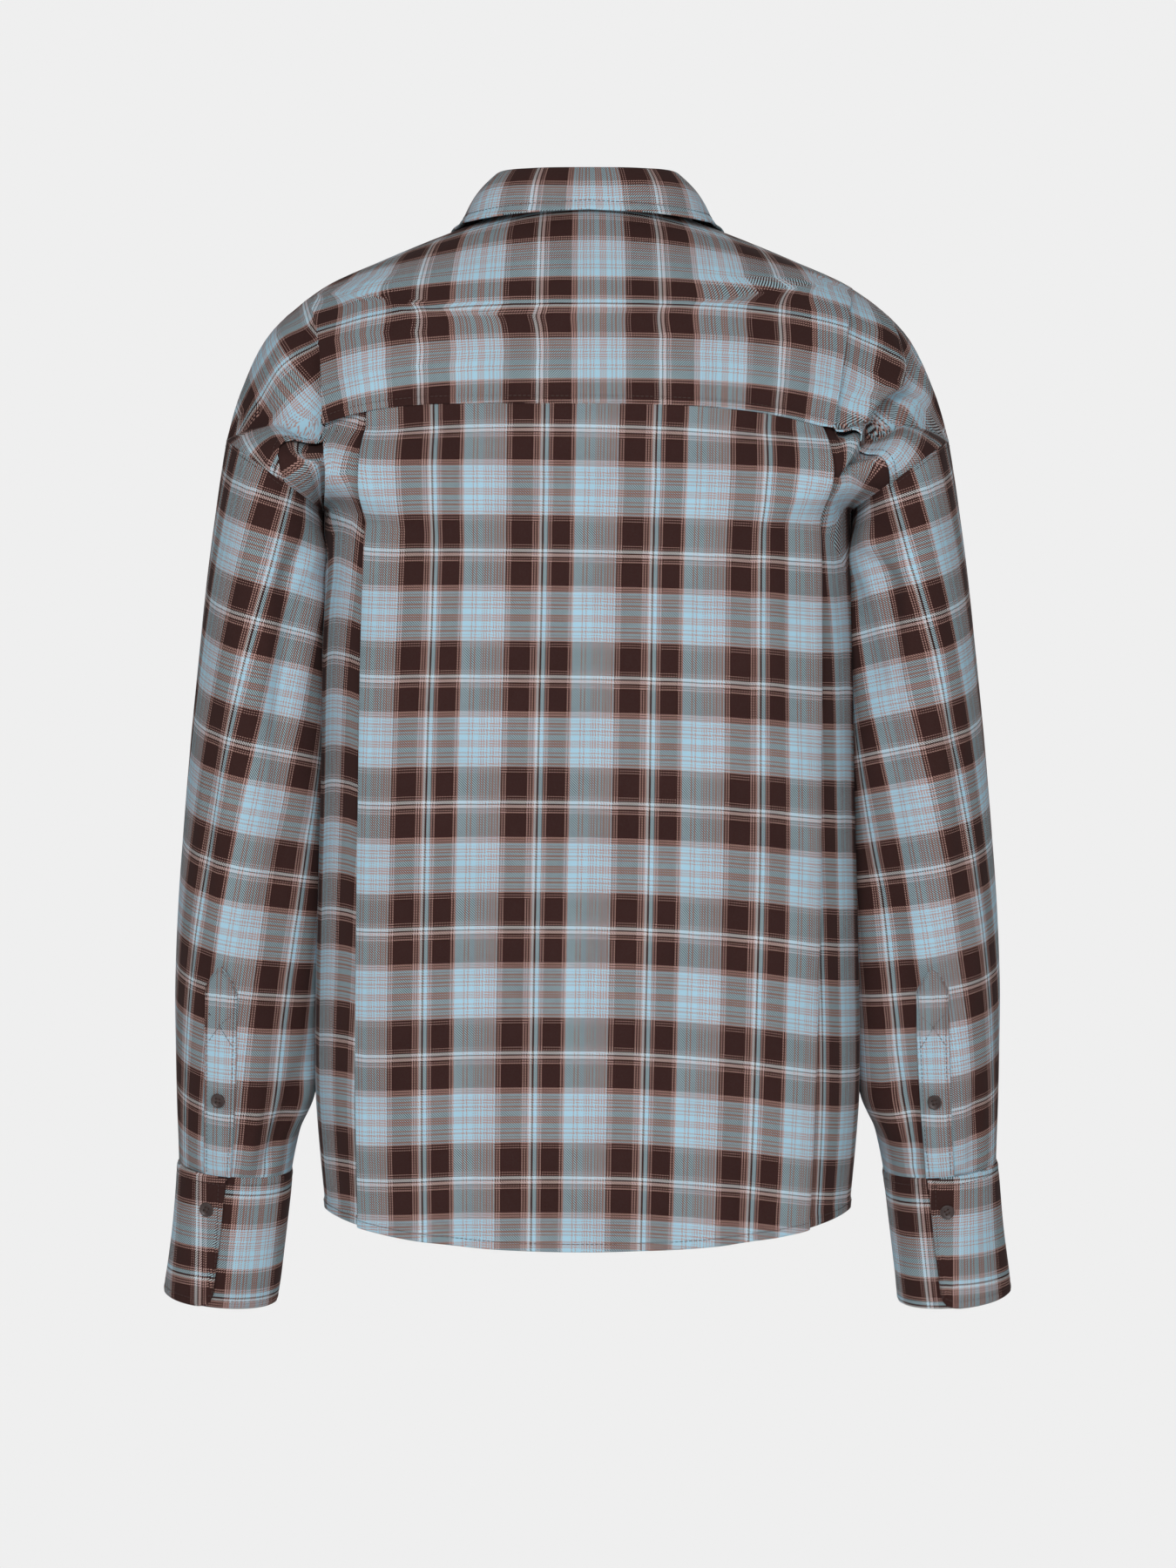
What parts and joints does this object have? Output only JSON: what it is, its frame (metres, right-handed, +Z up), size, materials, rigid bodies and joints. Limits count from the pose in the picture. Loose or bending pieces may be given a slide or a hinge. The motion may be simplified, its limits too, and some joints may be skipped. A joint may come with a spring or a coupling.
{
  "type": "flannel shirt",
  "caption": "Long-sleeved checked flannel shirt with turned-down collar, back yoke, two back pleats, dropped shoulders and deep buttoned cuffs, filled out as if worn.",
  "frame": {"origin": "middle of the neck at the height where the wearer's shoulders carry the shirt", "axes": "+X to the wearer's right, +Y forward out of the chest, +Z up"},
  "size_m": [0.5951, 0.2607, 0.7897],
  "materials": {
    "checked_flannel": "soft brushed twill in a brown, light blue and rose check",
    "brown_button": "dark brown, slightly glossy"
  },
  "bodies": {
    "root": {"yoke": "checked_flannel", "back_panel": "checked_flannel", "front_right": "checked_flannel", "front_left": "checked_flannel", "front_band": "checked_flannel", "collar_stand": "checked_flannel", "collar": "checked_flannel", "sleeve_right": "checked_flannel", "sleeve_left": "checked_flannel", "sleeve_placket_right": "checked_flannel", "sleeve_placket_left": "checked_flannel", "cuff_right": "checked_flannel", "cuff_left": "checked_flannel", "placket_button_right": "brown_button", "placket_button_left": "brown_button", "cuff_button_right": "brown_button", "cuff_button_left": "brown_button", "front_button_1": "brown_button", "front_button_2": "brown_button", "front_button_3": "brown_button", "front_button_4": "brown_button", "front_button_5": "brown_button", "front_button_6": "brown_button", "front_button_7": "brown_button"}
  },
  "joints": []
}
